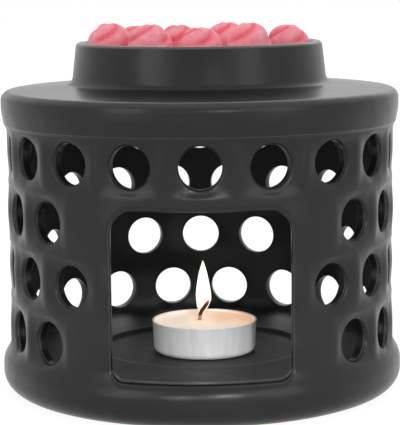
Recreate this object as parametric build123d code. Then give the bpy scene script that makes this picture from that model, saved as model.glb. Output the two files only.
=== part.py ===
# Essential oil burner: a pierced ceramic drum with a dish on top, a tea light inside,
# and a heap of wax melts in the dish.
#
# Millimetres, +Z up. The origin is the centre of the foot, on the surface that the burner
# stands on. The window faces -Y, and +X is to the right of someone looking into it.

import os
from math import asin, cos, degrees, hypot, pi, sin

from build123d import *

# Drum, the pierced round wall of the ceramic body
drum_diameter = 140.0
wall = 5.4
chamber_rounding = 5.0

# Foot, which flares out past the drum's wall and stands on a ring
foot_overhang = 2.65
foot_rounding = 7.5
foot_height = 11.9
foot_flare_height = 4.7
foot_flare_rounding = 8.0
foot_flare_blend = 8.0
foot_ring_width = 7.0
foot_recess = 3.0
foot_recess_rounding = 1.2
floor_thickness = 11.1

# Round holes in staggered rows
hole_diameter = 14.4
hole_rows = 4
holes_per_row = 18
web_below_holes = 0.5
web_between_rows = 6.5
web_above_holes = 1.8
hole_rounding = 1.4

# Window in the front of the drum
window_width = 60.0
window_height = 57.0
window_sill = 1.3
window_upper_corner_radius = 7.5
window_lower_corner_radius = 4.0
window_outer_rounding = 2.4
window_inner_rounding = 1.2
web_beside_window = 4.5

# Plain raised band above the holes, which stands proud of the wall, and the shoulder over it
band_overhang = 1.55
band_step = 0.7
band_step_height = 1.0
band_step_rounding = 0.6
band_swell_height = 5.0
band_rounding = 8.0
band_height = 12.3
shoulder_rise = 2.3
shoulder_rounding = 3.4

# Dish on the shoulder
dish_foot_diameter = 91.8
dish_foot_blend = 3.2
dish_height = 14.7
dish_depth = 14.5
dish_floor_thickness = 6.4
dish_floor_rounding = 4.0
dish_taper = 0.7
rim_diameter = 88.3
rim_thickness = 3.3
rim_rounding = 1.6

# Seat for the tea light, sunk into the chamber floor
seat_diameter = 73.0
seat_depth = 1.5
seat_lip_slope = 0.8
seat_rounding = 1.0

# Tea light cup
cup_diameter = 38.2
cup_base_diameter = 37.0
cup_height = 11.7
cup_wall = 0.3
cup_base_rounding = 2.2
cup_to_the_right = 1.0
cup_forward = 4.0

# Tea light wax, wick tab and wick
wax_below_rim = 0.7
tab_diameter = 13.0
tab_thickness = 0.3
tab_collar_diameter = 3.0
tab_collar_height = 3.4
wick_diameter = 1.5
wick_to_the_left = 1.7
wick_back = 3.0
wick_upright = 1.9
wick_tip_across = 3.4
wick_tip_height = 6.8
wick_bend_radius = 3.0

# Wax melts
melt_diameter = 16.2
melt_height = 10.8
melt_base_rounding = 1.6
melt_crown_flat = 0.2
melt_gap = 0.3
inner_ring_melts = 3

# Clearance round what is cast into the wax, the overrun of every cut, and how closely a
# face's radius has to match a hole's to be that hole's wall
fill_gap = 0.05
overrun = 5.0
match = 0.01

# Melts heaped on the lower layer: across, back, and the height of the melt. The places are
# shares of the pitch of two melts side by side, and the height is a share of a full melt.
heap_shares = [
    (-1.933, -0.242, 1.00),
    (-1.048, -0.764, 0.98),
    (0.024, -0.818, 0.86),
    (1.067, -0.697, 1.00),
    (1.945, 0.121, 0.88),
    (-0.455, 0.333, 0.90),
    (0.606, 0.424, 0.97),
    (-1.370, 0.782, 0.85),
]

drum_radius = drum_diameter / 2
chamber_radius = drum_radius - wall
middle_of_wall = drum_radius - wall / 2
foot_radius = drum_radius + foot_overhang
floor_height = foot_recess + floor_thickness
seat_radius = seat_diameter / 2
seat_height = floor_height - seat_depth
flare_top = foot_height + foot_flare_height
hole_radius = hole_diameter / 2
row_pitch = hole_diameter + web_between_rows
lowest_row = flare_top + web_below_holes + hole_radius
band_bottom = lowest_row + (hole_rows - 1) * row_pitch + hole_radius + web_above_holes
band_radius = drum_radius + band_overhang
shoulder_edge = band_bottom + band_height
shoulder_top = shoulder_edge + shoulder_rise
rim_height = shoulder_top + dish_height
rim_radius = rim_diameter / 2
dish_radius = rim_radius - rim_thickness
dish_floor_radius = dish_radius - dish_taper
dish_floor = rim_height - dish_depth
ceiling_height = dish_floor - dish_floor_thickness
window_bottom = floor_height + window_sill
window_top = window_bottom + window_height
cup_radius = cup_diameter / 2
cup_base_radius = cup_base_diameter / 2
wax_top = cup_height - wax_below_rim
wick_bore_radius = wick_diameter / 2 + fill_gap
melt_radius = melt_diameter / 2
melt_pitch = melt_diameter + melt_gap


def outline(corners):
    """A closed face in the XZ plane, from corners of (distance from the axis, height, rounding)."""
    points = [(across, height) for across, height, _ in corners]
    roundings = [rounding for _, _, rounding in corners]
    return Plane.XZ * make_face(FilletPolyline(*points, radius=roundings, close=True))


def turned(corners):
    """The solid that an outline sweeps round the Z axis."""
    return revolve(outline(corners), Axis.Z)


def casting():
    """The ceramic body before it is hollowed and pierced: foot, drum, band, shoulder, dish."""
    ring_inside = foot_radius - foot_rounding - foot_ring_width
    return turned([
        (0, foot_recess, 0),
        (ring_inside, foot_recess, foot_recess_rounding),
        (ring_inside, 0, foot_recess_rounding),
        (foot_radius, 0, foot_rounding),
        (foot_radius, foot_height, foot_flare_rounding),
        (drum_radius, flare_top, foot_flare_blend),
        (drum_radius, band_bottom, band_step_rounding),
        (drum_radius + band_step, band_bottom + band_step_height, band_step_rounding),
        (band_radius, band_bottom + band_step_height + band_swell_height, band_rounding),
        (band_radius, shoulder_edge, shoulder_rounding),
        (dish_foot_diameter / 2, shoulder_top, dish_foot_blend),
        (rim_radius, rim_height, rim_rounding),
        (dish_radius, rim_height, rim_rounding),
        (dish_floor_radius, dish_floor, dish_floor_rounding),
        (0, dish_floor, 0),
    ])


def chamber():
    """The space inside the drum, with the round seat for the tea light sunk in its floor."""
    return turned([
        (0, seat_height, 0),
        (seat_radius, seat_height, seat_rounding),
        (seat_radius + seat_lip_slope, floor_height, seat_rounding),
        (chamber_radius, floor_height, chamber_rounding),
        (chamber_radius, ceiling_height, chamber_rounding),
        (0, ceiling_height, 0),
    ])


def window():
    """The cut for the window, straight through the front of the wall."""
    side = window_width / 2
    frame = outline([
        (side, window_bottom, window_lower_corner_radius),
        (side, window_top, window_upper_corner_radius),
        (-side, window_top, window_upper_corner_radius),
        (-side, window_bottom, window_lower_corner_radius),
    ])
    return extrude(frame, foot_radius + overrun)


def hole(angle, height):
    """One cutter through the wall, along a radius at an angle from the front."""
    cutter = extrude(Plane.XZ * Circle(hole_radius), foot_radius + overrun)
    return Rot(0, 0, degrees(angle)) * Pos(0, 0, height) * cutter


def clear_of_window(angle, height):
    """Whether a hole leaves a whole web between itself and the window."""
    if cos(angle) < 0:
        return True
    beside = abs(drum_radius * sin(angle)) - window_width / 2
    above = height - window_top
    return max(beside, above) > hole_radius + web_beside_window


def hole_places():
    """Angle from the front and height of each hole. Alternate rows are half a step round."""
    step = 2 * pi / holes_per_row
    places = []
    for row in range(hole_rows):
        height = lowest_row + row * row_pitch
        turn = 0 if row % 2 else step / 2
        for place in range(holes_per_row):
            angle = turn + place * step
            if clear_of_window(angle, height):
                places.append((angle, height))
    return places


def from_axis(edge):
    """The least and the greatest distance from the Z axis to an edge's ends and middle."""
    distances = [hypot(point.X, point.Y) for point in (edge @ 0, edge @ (1 / 2), edge @ 1)]
    return min(distances), max(distances)


def outside(edges):
    """Those edges that lie on the outside of the drum's wall."""
    return [edge for edge in edges if from_axis(edge)[0] > middle_of_wall]


def in_chamber(edges):
    """Those edges that lie on the chamber's side of the drum's wall."""
    return [edge for edge in edges if from_axis(edge)[1] < middle_of_wall]


def window_edges(body):
    """Every edge that the window leaves in the wall."""
    margin = window_sill / 2
    edges = []
    for edge in body.edges():
        box = edge.bounding_box()
        across = max(-box.min.X, box.max.X) < window_width / 2 + margin
        level = window_bottom - margin < box.min.Z and box.max.Z < window_top + margin
        if across and level and box.max.Y < -seat_radius:
            edges.append(edge)
    return edges


def hole_edges(body):
    """Every edge of the round walls that the holes leave."""
    walls = [face for face in body.faces().filter_by(GeomType.CYLINDER)
             if abs(face.radius - hole_radius) < match]
    return [edge for face in walls for edge in face.edges()]


def burner_body():
    """The finished ceramic body, with soft edges round the window and outside round every hole."""
    body = casting() - chamber() - window()
    body = fillet(outside(window_edges(body)), window_outer_rounding)
    body = fillet(in_chamber(window_edges(body)), window_inner_rounding)
    body -= [hole(angle, height) for angle, height in hole_places()]
    return fillet(outside(hole_edges(body)), hole_rounding)


def on_seat(shape):
    """Stand a piece of the tea light on its seat in the chamber floor."""
    return Pos(cup_to_the_right, -cup_forward, seat_height) * shape


def at_wick(shape):
    """Move a piece to the wick's place, a little left of and behind the cup's middle."""
    return Pos(-wick_to_the_left, wick_back, 0) * shape


def cup_radius_at(height):
    """The outside radius of the cup's leaning wall."""
    return cup_base_radius + (cup_radius - cup_base_radius) * height / cup_height


def tea_light_cup():
    """Thin drawn cup, a little wider at its rim than at its base."""
    return on_seat(turned([
        (0, 0, 0),
        (cup_base_radius, 0, cup_base_rounding),
        (cup_radius, cup_height, 0),
        (cup_radius - cup_wall, cup_height, 0),
        (cup_radius_at(cup_wall) - cup_wall, cup_wall, cup_base_rounding - cup_wall),
        (0, cup_wall, 0),
    ]))


def wick_bore():
    """The wick's way up through the tab's collar and the wax."""
    return at_wick(Pos(0, 0, cup_wall) * extrude(Circle(wick_bore_radius), cup_height))


def tab_shape(gap):
    """Round foot and collar of the wick tab, grown by a gap."""
    foot_top = cup_wall + tab_thickness + gap
    collar_top = cup_wall + tab_collar_height + gap
    collar_radius = tab_collar_diameter / 2 + gap
    return at_wick(turned([
        (0, cup_wall, 0),
        (tab_diameter / 2 + gap, cup_wall, 0),
        (tab_diameter / 2 + gap, foot_top, 0),
        (collar_radius, foot_top, 0),
        (collar_radius, collar_top, 0),
        (0, collar_top, 0),
    ]))


def wick_tab():
    """Stamped foot that lies on the bottom of the cup and holds the wick upright."""
    return on_seat(tab_shape(0) - wick_bore())


def tea_light_wax():
    """The fill of the cup, cast round the wick tab and the wick."""
    fill = turned([
        (0, cup_wall, 0),
        (cup_radius_at(cup_wall) - cup_wall - fill_gap, cup_wall, cup_base_rounding - cup_wall),
        (cup_radius_at(wax_top) - cup_wall - fill_gap, wax_top, 0),
        (0, wax_top, 0),
    ])
    return on_seat(fill - tab_shape(fill_gap) - wick_bore())


def wick():
    """Round wick, upright through the wax and then bent over to the right."""
    path = FilletPolyline(
        (0, 0, cup_wall),
        (0, 0, wax_top + wick_upright),
        (wick_tip_across, 0, wax_top + wick_tip_height),
        radius=wick_bend_radius,
    )
    return on_seat(at_wick(sweep(Pos(0, 0, cup_wall) * Circle(wick_diameter / 2), path)))


def melt(across, back, height, height_share):
    """One domed melt, standing at a place on the dish floor or on the melts below it."""
    top = melt_height * height_share
    crown = min(melt_radius - melt_crown_flat, top - melt_base_rounding - melt_crown_flat)
    dome = turned([
        (0, 0, 0),
        (melt_radius, 0, melt_base_rounding),
        (melt_radius, top, crown),
        (0, top, 0),
    ])
    return Pos(across, back, height) * dome


def ring_places(ring_radius, count, first):
    """Places on a ring in the dish, from a first angle round from the back."""
    angles = [first + place * 2 * pi / count for place in range(count)]
    return [(ring_radius * sin(angle), ring_radius * cos(angle)) for angle in angles]


def lower_melts():
    """Melts on the dish floor: an inner ring, and an outer ring that is open at the back."""
    flat_radius = dish_floor_radius - dish_floor_rounding
    outer_radius = flat_radius - (melt_radius - melt_base_rounding) - melt_gap
    outer_count = int(pi / asin(melt_pitch / 2 / outer_radius))
    inner_radius = melt_pitch / 2 / sin(pi / inner_ring_melts)
    places = ring_places(inner_radius, inner_ring_melts, pi)
    places += ring_places(outer_radius, outer_count, 0)[1:]
    return [melt(across, back, dish_floor, 1) for across, back in places]


def upper_melts():
    """Melts heaped on the lower layer, as many of them as the dish's wall leaves room for."""
    reach = dish_floor_radius - melt_radius
    layer = dish_floor + melt_height
    melts = []
    for across_share, back_share, height_share in heap_shares:
        across = across_share * melt_pitch
        back = back_share * melt_pitch
        if hypot(across, back) < reach + dish_taper / 2:
            melts.append(melt(across, back, layer, height_share))
    return melts


def save(shape, name):
    """Write one sub-part under its own name."""
    export_step(shape, os.path.join("parts", name + ".step"))


def main():
    os.makedirs("parts", exist_ok=True)
    save(burner_body(), "burner_body")
    save(tea_light_cup(), "tea_light_cup")
    save(tea_light_wax(), "tea_light_wax")
    save(wick_tab(), "wick_tab")
    save(wick(), "wick")
    for number, shape in enumerate(lower_melts(), start=1):
        save(shape, f"lower_wax_melt_{number:02d}")
    for number, shape in enumerate(upper_melts(), start=1):
        save(shape, f"upper_wax_melt_{number:02d}")


main()
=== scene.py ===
"""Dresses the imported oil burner: the glazed and pierced body, the wax melts in its dish, the tea
light with its flame, and the stage. Metres, +Z up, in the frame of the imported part."""

from functools import partialmethod
from math import asin, atan2, ceil, cos, exp, hypot, pi, radians, sin, sqrt, tan

import bmesh
import bpy
import numpy as np
from bpy.props import FloatProperty, FloatVectorProperty, IntProperty, PointerProperty
from mathutils import Matrix, Vector, geometry, noise


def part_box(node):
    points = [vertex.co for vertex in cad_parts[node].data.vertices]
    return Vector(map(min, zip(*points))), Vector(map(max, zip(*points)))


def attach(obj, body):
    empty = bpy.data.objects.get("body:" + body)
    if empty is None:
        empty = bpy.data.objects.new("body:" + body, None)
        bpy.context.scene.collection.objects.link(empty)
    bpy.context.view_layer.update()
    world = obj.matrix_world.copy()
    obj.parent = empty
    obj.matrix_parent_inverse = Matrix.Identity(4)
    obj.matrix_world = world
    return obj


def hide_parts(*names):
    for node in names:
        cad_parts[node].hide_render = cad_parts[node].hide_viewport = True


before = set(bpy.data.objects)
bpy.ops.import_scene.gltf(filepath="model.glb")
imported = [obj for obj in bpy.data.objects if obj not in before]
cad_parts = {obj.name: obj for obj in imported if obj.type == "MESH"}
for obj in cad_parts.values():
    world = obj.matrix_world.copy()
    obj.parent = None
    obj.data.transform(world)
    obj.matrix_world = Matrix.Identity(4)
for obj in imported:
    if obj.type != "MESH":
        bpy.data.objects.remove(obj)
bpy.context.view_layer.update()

bl_info = {
    "name": "Oil Burner",
    "version": (1, 0, 0),
    "blender": (4, 5, 0),
    "location": "3D View > Sidebar > Oil Burner",
    "description": "Builds the glazed body, wax melts, tea light, flame and stage round the packed part",
    "category": "Object",
}

MM = 0.001
FULL_TURN = 2 * pi
CUP_LOW, CUP_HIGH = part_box("tea_light_cup")
WAX_LOW, WAX_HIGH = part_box("tea_light_wax")
WICK_LOW, WICK_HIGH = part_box("wick")
MELTS = sorted(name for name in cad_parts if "wax_melt" in name)

# How finely the drum is divided: each hole's cell has this many steps across and up
CELL_ACROSS = 14
CELL_UP = 10
WELD = 0.02 * MM

# The strips under the cells start at these heights, outside and in the chamber
FOOT_TOP, FLOOR_EDGE, STRIP_STEPS = 9.0 * MM, 12.5 * MM, 8

# The dimples run out over this height, where the wall meets the foot and the band
DIMPLE_END = 3.5 * MM

# Rows of points keep this far from a bend, so that no two of them fall together
CLEAR = 0.2 * MM

# A convex rounding up to this size is marked in full as an edge, which the glaze paints lighter, partly as
# thin glaze and partly as a painted highlight
SHARP = 1.6 * MM

# Steps round a corner of the window and over its rounded edge, the longest step between two corners,
# how far the web keeps from the window's roundings outside and inside, and the least space round a
# point in the web
CORNER_STEPS, EDGE_STEPS, LONGEST_STEP = 8, 6, 2.4 * MM
OUTER_MARGIN, INNER_MARGIN, SPOT_SPACE = 1.1 * MM, 0.5 * MM, 1.0 * MM

# Where the lamps and the beams are aimed
BURNER_MIDDLE, TEA_LIGHT_MIDDLE = (0, 0, 0.06), (0.004, 0.008, 0.018)


# Properties, the sizes and colours that a user would change

def size(name, description, millimetres):
    """A length, given in millimetres and kept in metres."""
    return FloatProperty(name=name, description=description, default=millimetres * MM, min=0,
                         precision=5, unit="LENGTH")


def tint(name, description, default):
    """A colour in linear light."""
    return FloatVectorProperty(name=name, description=description, default=default, size=3,
                               min=0, max=1, subtype="COLOR")


class BodySizes(bpy.types.PropertyGroup):
    """Sizes of the ceramic body."""
    drum_radius: size("Drum radius", "From the axis to the outside of the wall", 70)
    wall: size("Wall", "Thickness of the drum's wall", 5.4)
    chamber_rounding: size("Chamber rounding", "Between the chamber's wall, floor and ceiling", 5)
    foot_overhang: size("Foot overhang", "How far the foot stands out past the drum", 2.65)
    foot_rounding: size("Foot rounding", "At the bottom of the foot", 7.5)
    foot_height: size("Foot height", "Up to where the foot starts to draw in", 11.9)
    flare_height: size("Flare height", "Over which the foot draws in to the drum", 4.7)
    flare_rounding: size("Flare rounding", "Where the foot starts to draw in", 8)
    flare_blend: size("Flare blend", "Where the foot runs into the drum", 8)
    ring_width: size("Ring width", "Of the ring that the foot stands on", 7)
    recess: size("Recess", "Depth of the hollow under the foot", 3)
    recess_rounding: size("Recess rounding", "At the edges of the hollow under the foot", 1.2)
    floor_height: size("Floor height", "Of the chamber's floor over the table", 14.1)
    seat_radius: size("Seat radius", "Of the sunk seat for the tea light", 36.5)
    seat_depth: size("Seat depth", "Of the sunk seat for the tea light", 1.5)
    seat_lip: size("Seat lip", "Over which the seat slopes up to the floor", 0.8)
    seat_rounding: size("Seat rounding", "At both ends of the seat's lip", 1.0)
    ceiling: size("Ceiling", "Height of the chamber's ceiling", 104.4)
    band_bottom: size("Band bottom", "Height of the band's lower edge", 96)
    band_overhang: size("Band overhang", "How far the band stands out past the drum", 1.55)
    band_step: size("Band step", "The first step out from the drum to the band", 0.7)
    band_step_height: size("Band step height", "Height of the first step out", 1)
    band_step_rounding: size("Band step rounding", "At the ends of the first step out", 0.6)
    band_swell: size("Band swell", "Height over which the band swells to its width", 5)
    band_rounding: size("Band rounding", "At the top of the swell", 8)
    shoulder_edge: size("Shoulder edge", "Height of the band's upper edge", 108.3)
    shoulder_rise: size("Shoulder rise", "From the band's edge up to the dish", 2.3)
    shoulder_rounding: size("Shoulder rounding", "Between the band and the shoulder", 3.4)
    dish_foot: size("Dish foot", "Radius of the dish where it meets the shoulder", 45.9)
    dish_blend: size("Dish blend", "Between the shoulder and the dish", 3.2)
    dish_height: size("Dish height", "From the shoulder up to the rim", 14.7)
    dish_depth: size("Dish depth", "From the rim down to the dish's floor", 14.5)
    dish_taper: size("Dish taper", "How much the dish narrows towards its floor", 0.7)
    dish_rounding: size("Dish rounding", "Between the dish's wall and its floor", 4)
    rim_radius: size("Rim radius", "Outer radius of the dish's rim", 44.15)
    rim_thickness: size("Rim thickness", "Of the dish's wall at the rim", 3.3)
    rim_rounding: size("Rim rounding", "On both sides of the rim", 1.6)
    web_dip: size("Web dip", "How far the wall sinks between two rows of holes", 0.5)


class OpeningSizes(bpy.types.PropertyGroup):
    """Sizes of the round holes and of the window."""
    hole_radius: size("Hole radius", "Of each round hole in the wall", 7.2)
    rows: IntProperty(name="Rows", description="Rows of holes, one over the other", default=4, min=1)
    per_row: IntProperty(name="Holes per row", description="Holes in a full row", default=18, min=3)
    lowest_row: size("Lowest row", "Height of the lowest row's middle", 24.3)
    row_pitch: size("Row pitch", "From one row up to the next", 20.9)
    outer_rounding: size("Outer rounding", "Of a hole's edge outside", 1.3)
    inner_rounding: size("Inner rounding", "Of a hole's edge in the chamber", 0.6)
    dimple: size("Dimple", "How far the wall sinks from the webs to each hole", 1.0)
    window_width: size("Window width", "Across the window", 60)
    window_bottom: size("Window bottom", "Height of the window's sill", 15.4)
    window_top: size("Window top", "Height of the window's upper edge", 72.4)
    window_upper_corner: size("Window upper corner", "Radius of the window's upper corners", 7.5)
    window_lower_corner: size("Window lower corner", "Radius of the window's lower corners", 4)
    window_outer_rounding: size("Window outer rounding", "Of the window's edge outside", 2.4)
    window_inner_rounding: size("Window inner rounding", "Of the window's edge in the chamber", 1.2)
    window_web: size("Window web", "Least web between the window and a whole hole", 4.5)


class Glaze(bpy.types.PropertyGroup):
    """Finish of the glazed ceramic."""
    colour: tint("Colour", "Of the glaze on open surfaces", (0.0085, 0.0087, 0.0085))
    # Edge colour: partly thin glaze, partly a painted highlight on the edges
    edge_colour: tint("Edge colour", "Where the glaze has run thin over an edge", (0.090, 0.086, 0.080))
    roughness: FloatProperty(name="Roughness", description="Of the satin glaze", default=0.28, min=0,
                             max=1, subtype="FACTOR")


class MeltFinish(bpy.types.PropertyGroup):
    """Shape and finish of the wax melts."""
    petals: IntProperty(name="Petals", description="Folds that wind round each melt", default=3, min=1)
    fold_depth: size("Fold depth", "Of the fold between two petals", 1.3)
    colour: tint("Colour", "Of the petals", (0.96, 0.255, 0.320))
    # Painted shade, darkening the folds
    valley_colour: tint("Valley colour", "In the folds between the petals", (0.93, 0.150, 0.210))
    # A paler pink, a painted highlight, which the melts get in random patches
    edge_colour: tint("Edge colour", "Along the petals' edges", (1.0, 0.40, 0.46))


class TeaLight(bpy.types.PropertyGroup):
    """Sizes and finishes of the tea light."""
    base_radius: size("Base radius", "Of the cup at its bottom", 18.5)
    cup_wall: size("Cup wall", "Thickness of the cup's sheet", 0.3)
    base_rounding: size("Base rounding", "Between the cup's bottom and its wall", 2.2)
    bead: size("Bead", "Radius of the rolled bead round the cup's rim", 0.3)
    meniscus: size("Meniscus", "How far the wax creeps up the cup's wall", 0.3)
    wick_radius: size("Wick radius", "Of the braided wick", 0.7)
    flame_height: size("Flame height", "From the wax to the tip of the flame", 21.8)
    flame_radius: size("Flame radius", "Half the widest part of the flame", 2.8)
    aluminium: tint("Aluminium", "Of the drawn cup", (0.88, 0.88, 0.89))
    wax: tint("Wax", "Of the wax in the cup", (0.92, 0.84, 0.72))
    # A painted glow: the flame's light on the wax, given as colour and emission
    glow: tint("Glow", "Of the lit wax towards the far side of the cup", (1.0, 0.50, 0.25))


class StageLight(bpy.types.PropertyGroup):
    """Floor and light."""
    floor: tint("Floor", "Of the floor that the burner stands on", (0.86, 0.86, 0.86))
    daylight: FloatProperty(name="Daylight", description="Even light from all round", default=0.7, min=0)


# Node trees, written as expressions

class Value:
    """A socket that Python's operators work on. Each operator adds one Math node."""

    def __init__(self, nodes, socket):
        self.nodes = nodes
        self.socket = socket

    def math(self, operation, *others):
        return self.nodes.math(operation, self, *others)

    def flipped(self, operation, other):
        return self.nodes.math(operation, other, self)

    __add__ = __radd__ = partialmethod(math, "ADD")
    __mul__ = __rmul__ = partialmethod(math, "MULTIPLY")
    __sub__, __rsub__ = partialmethod(math, "SUBTRACT"), partialmethod(flipped, "SUBTRACT")
    __truediv__, __rtruediv__ = partialmethod(math, "DIVIDE"), partialmethod(flipped, "DIVIDE")
    __gt__, __abs__ = partialmethod(math, "GREATER_THAN"), partialmethod(math, "ABSOLUTE")

    def out(self, name):
        """Another output of the same node."""
        return Value(self.nodes, pick(self.socket.node.outputs, name))

    def ramp(self, low, high):
        """0 up to low, 1 from high, and smooth between them."""
        sockets = {"Value": self, "From Min": low, "From Max": high}
        return self.nodes.add("ShaderNodeMapRange", sockets, interpolation_type="SMOOTHSTEP")


def pick(sockets, key):
    """The socket at a place, or the one in use that has that identifier or name."""
    if isinstance(key, int):
        return sockets[key]
    return next(socket for socket in sockets if socket.enabled and key in (socket.identifier, socket.name))


class Nodes:
    """Adds nodes to one tree."""

    def __init__(self, tree):
        self.tree = tree

    def add(self, kind, sockets=None, output=0, **settings):
        """One node: its settings first, then the values or links of its sockets."""
        node = self.tree.nodes.new(kind)
        for name, value in settings.items():
            setattr(node, name, value)
        for key, value in (sockets or {}).items():
            socket = pick(node.inputs, key)
            if isinstance(value, Value):
                self.tree.links.new(value.socket, socket)
            else:
                socket.default_value = value
        return Value(self, pick(node.outputs, output)) if node.outputs else node

    def math(self, operation, *values):
        return self.add("ShaderNodeMath", dict(enumerate(values)), operation=operation)

    def mix(self, factor, first, second):
        """A colour from the first to the second."""
        one, other = (value if isinstance(value, Value) else (*value, 1) for value in (first, second))
        return self.add("ShaderNodeMix", {"Factor": factor, "A": one, "B": other}, "Result", data_type="RGBA")

    def noise(self, place, scale, detail=2.0):
        """Soft noise from 0 to 1."""
        return self.add("ShaderNodeTexNoise", {"Vector": place, "Scale": scale, "Detail": detail})

    def vector(self, x, y, z):
        return self.add("ShaderNodeCombineXYZ", {0: x, 1: y, 2: z})

    def parts(self, vector):
        """The three numbers of a vector."""
        x = self.add("ShaderNodeSeparateXYZ", {0: vector})
        return x, x.out("Y"), x.out("Z")

    def mark(self, name):
        """A number that the mesh carries on its points."""
        return self.add("ShaderNodeAttribute", output="Fac", attribute_name=name)

    def seen(self):
        """1 for a ray from the camera, a mirrored ray or one through glass, and 0 for the others."""
        ray = self.add("ShaderNodeLightPath", output="Is Camera Ray")
        return most(most(ray, ray.out("Is Glossy Ray")), ray.out("Is Transmission Ray"))

    def principled(self, bump, **sockets):
        """The main shader, with underscores for the spaces in its sockets' names. A bump is a
        height, its distance and its strength."""
        if bump:
            height, distance, strength = bump
            sockets["Normal"] = self.add(
                "ShaderNodeBump", {"Height": height, "Distance": distance, "Strength": strength})
        named = {name.replace("_", " "): value for name, value in sockets.items()}
        return self.add("ShaderNodeBsdfPrincipled", named)


def material(name, paint, *settings):
    """A material whose surface is what paint makes from its nodes and the place on the piece."""
    made = bpy.data.materials.new(name)
    made.use_nodes = True
    made.node_tree.nodes.clear()
    nodes = Nodes(made.node_tree)
    place = nodes.add("ShaderNodeTexCoord", output="Object")
    nodes.add("ShaderNodeOutputMaterial", {"Surface": paint(nodes, place, *settings)})
    return made


# Mathematics that works on plain numbers, and on values, where it adds nodes

def either(operation, plain):
    """A function that works out plain numbers itself, and adds a node for values."""
    def work(first, *others):
        return first.math(operation, *others) if isinstance(first, Value) else plain(first, *others)
    return work


most, least = either("MAXIMUM", max), either("MINIMUM", min)
root, sine, cosine = either("SQRT", sqrt), either("SINE", sin), either("COSINE", cos)


# Meshes

def face_outward(mesh, weld):
    """Turns a mesh's faces outward, after a weld where that is asked for. Counts its open edges."""
    tidied = bmesh.new()
    tidied.from_mesh(mesh)
    if weld:
        bmesh.ops.remove_doubles(tidied, verts=tidied.verts, dist=WELD)
    bmesh.ops.recalc_face_normals(tidied, faces=tidied.faces)
    open_edges = sum(edge.is_boundary for edge in tidied.edges)
    tidied.to_mesh(mesh)
    tidied.free()
    return open_edges


class Surface:
    """Gathers the points and faces of one mesh, and a mark from 0 to 1 for every point."""

    def __init__(self):
        self.points = []
        self.marks = []
        self.faces = []

    def row(self, points, marks=0.0):
        """Adds a row of points and returns their numbers."""
        first = len(self.points)
        self.points += [tuple(point) for point in points]
        added = len(self.points) - first
        self.marks += list(marks) if hasattr(marks, "__len__") else [marks] * added
        return list(range(first, first + added))

    def bridge(self, rows, closed=True):
        """Fills between each row and the next, all of them with as many points."""
        for one, other in zip(rows, rows[1:]):
            count = len(one)
            for step in range(count if closed else count - 1):
                after = (step + 1) % count
                self.faces.append((one[step], one[after], other[after], other[step]))

    def fan(self, row, middle, mark=0.0):
        """Closes a row round a point in its middle."""
        centre, = self.row([middle], mark)
        for one, other in zip(row, row[1:] + row[:1]):
            self.faces.append((one, other, centre))

    def mesh(self, name, mark="edge"):
        """The smooth mesh, welded and with its faces outward."""
        made = bpy.data.meshes.new(name)
        made.from_pydata(self.points, [], self.faces)
        made.attributes.new(mark, "FLOAT", "POINT").data.foreach_set("value", self.marks)
        face_outward(made, weld=True)
        made.shade_smooth()
        return made


def spun(radius, angle, height):
    """A point at an angle from the front, about the drum's axis."""
    return radius * sin(angle), -radius * cos(angle), height


def curved(start, corner, end, along):
    """A point on the curve from start to end that bends round inside a corner."""
    return start * (1 - along) ** 2 + corner * 2 * along * (1 - along) + end * along ** 2


def rounded(corners, step=radians(9), outward=True):
    """A profile of (radius, height, mark) from corners of (radius, height, rounding). The mark, which the
    glaze paints lighter as thin glaze and a painted highlight, is highest in the middle of each small convex
    rounding."""
    profile = []
    for number, (radius, height, rounding) in enumerate(corners):
        here = Vector((radius, height))
        if not rounding:
            profile.append((radius, height, 0.0))
            continue
        before = (Vector(corners[number - 1][:2]) - here).normalized()
        after = (Vector(corners[number + 1][:2]) - here).normalized()
        half = before.angle(after) / 2
        middle = here + (before + after).normalized() * rounding / sin(half)
        first = here + before * rounding / tan(half) - middle
        last = here + after * rounding / tan(half) - middle
        turn = first.angle(last)
        steps = max(2, ceil(turn / step))
        convex = (after.cross(before) > 0) == outward
        peak = min(1.0, SHARP / rounding) if convex else 0.0
        for place in range(steps + 1):
            along = place / steps
            arm = (first * sin((1 - along) * turn) + last * sin(along * turn)) / sin(turn)
            profile.append((*(middle + arm), peak * sin(pi * along) ** 2))
    return profile


def lathe(surface, profile, angles, closed=True, centre=(0, 0)):
    """Spins a profile through the angles. An end of it on the axis is closed with a fan."""
    rows = []
    for radius, height, mark in profile:
        if radius > WELD:
            points = [spun(radius, angle, height) for angle in angles]
            rows.append(surface.row([(x + centre[0], y + centre[1], z) for x, y, z in points], mark))
    surface.bridge(rows, closed)
    if profile[0][0] <= WELD:
        surface.fan(rows[0], (*centre, profile[0][1]))
    if profile[-1][0] <= WELD:
        surface.fan(rows[-1], (*centre, profile[-1][1]))


def round_angles(count):
    return [FULL_TURN * number / count for number in range(count)]


def capped(name, rings, bottom, top, top_mark=1.0, mark="edge"):
    """The mesh of a row of rings, each with its points and their marks, closed round a point at
    either end."""
    surface = Surface()
    rows = [surface.row(*ring) for ring in rings]
    surface.bridge(rows)
    surface.fan(rows[0], bottom)
    surface.fan(rows[-1], top, top_mark)
    return surface.mesh(name, mark)


def turned(name, profile, low, high, count):
    """The mesh of a profile that is spun about the middle of a node's box, from its bottom up."""
    surface = Surface()
    raised = [(radius, height + low.z, 0.0) for radius, height, *_ in profile]
    lathe(surface, raised, round_angles(count), centre=((low + high) / 2).xy)
    return surface.mesh(name)


def linked(name, data):
    """A new object in the scene."""
    made = bpy.data.objects.new(name, data)
    bpy.context.scene.collection.objects.link(made)
    return made


def add_piece(name, mesh, finish, body, slot, *nodes):
    """Shows a mesh as a piece that rides a body and stands for CAD nodes."""
    piece = linked(name, mesh)
    if finish:
        mesh.materials.append(finish)
    if nodes:
        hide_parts(*nodes)
    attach(piece, body)


# The ceramic body

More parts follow.
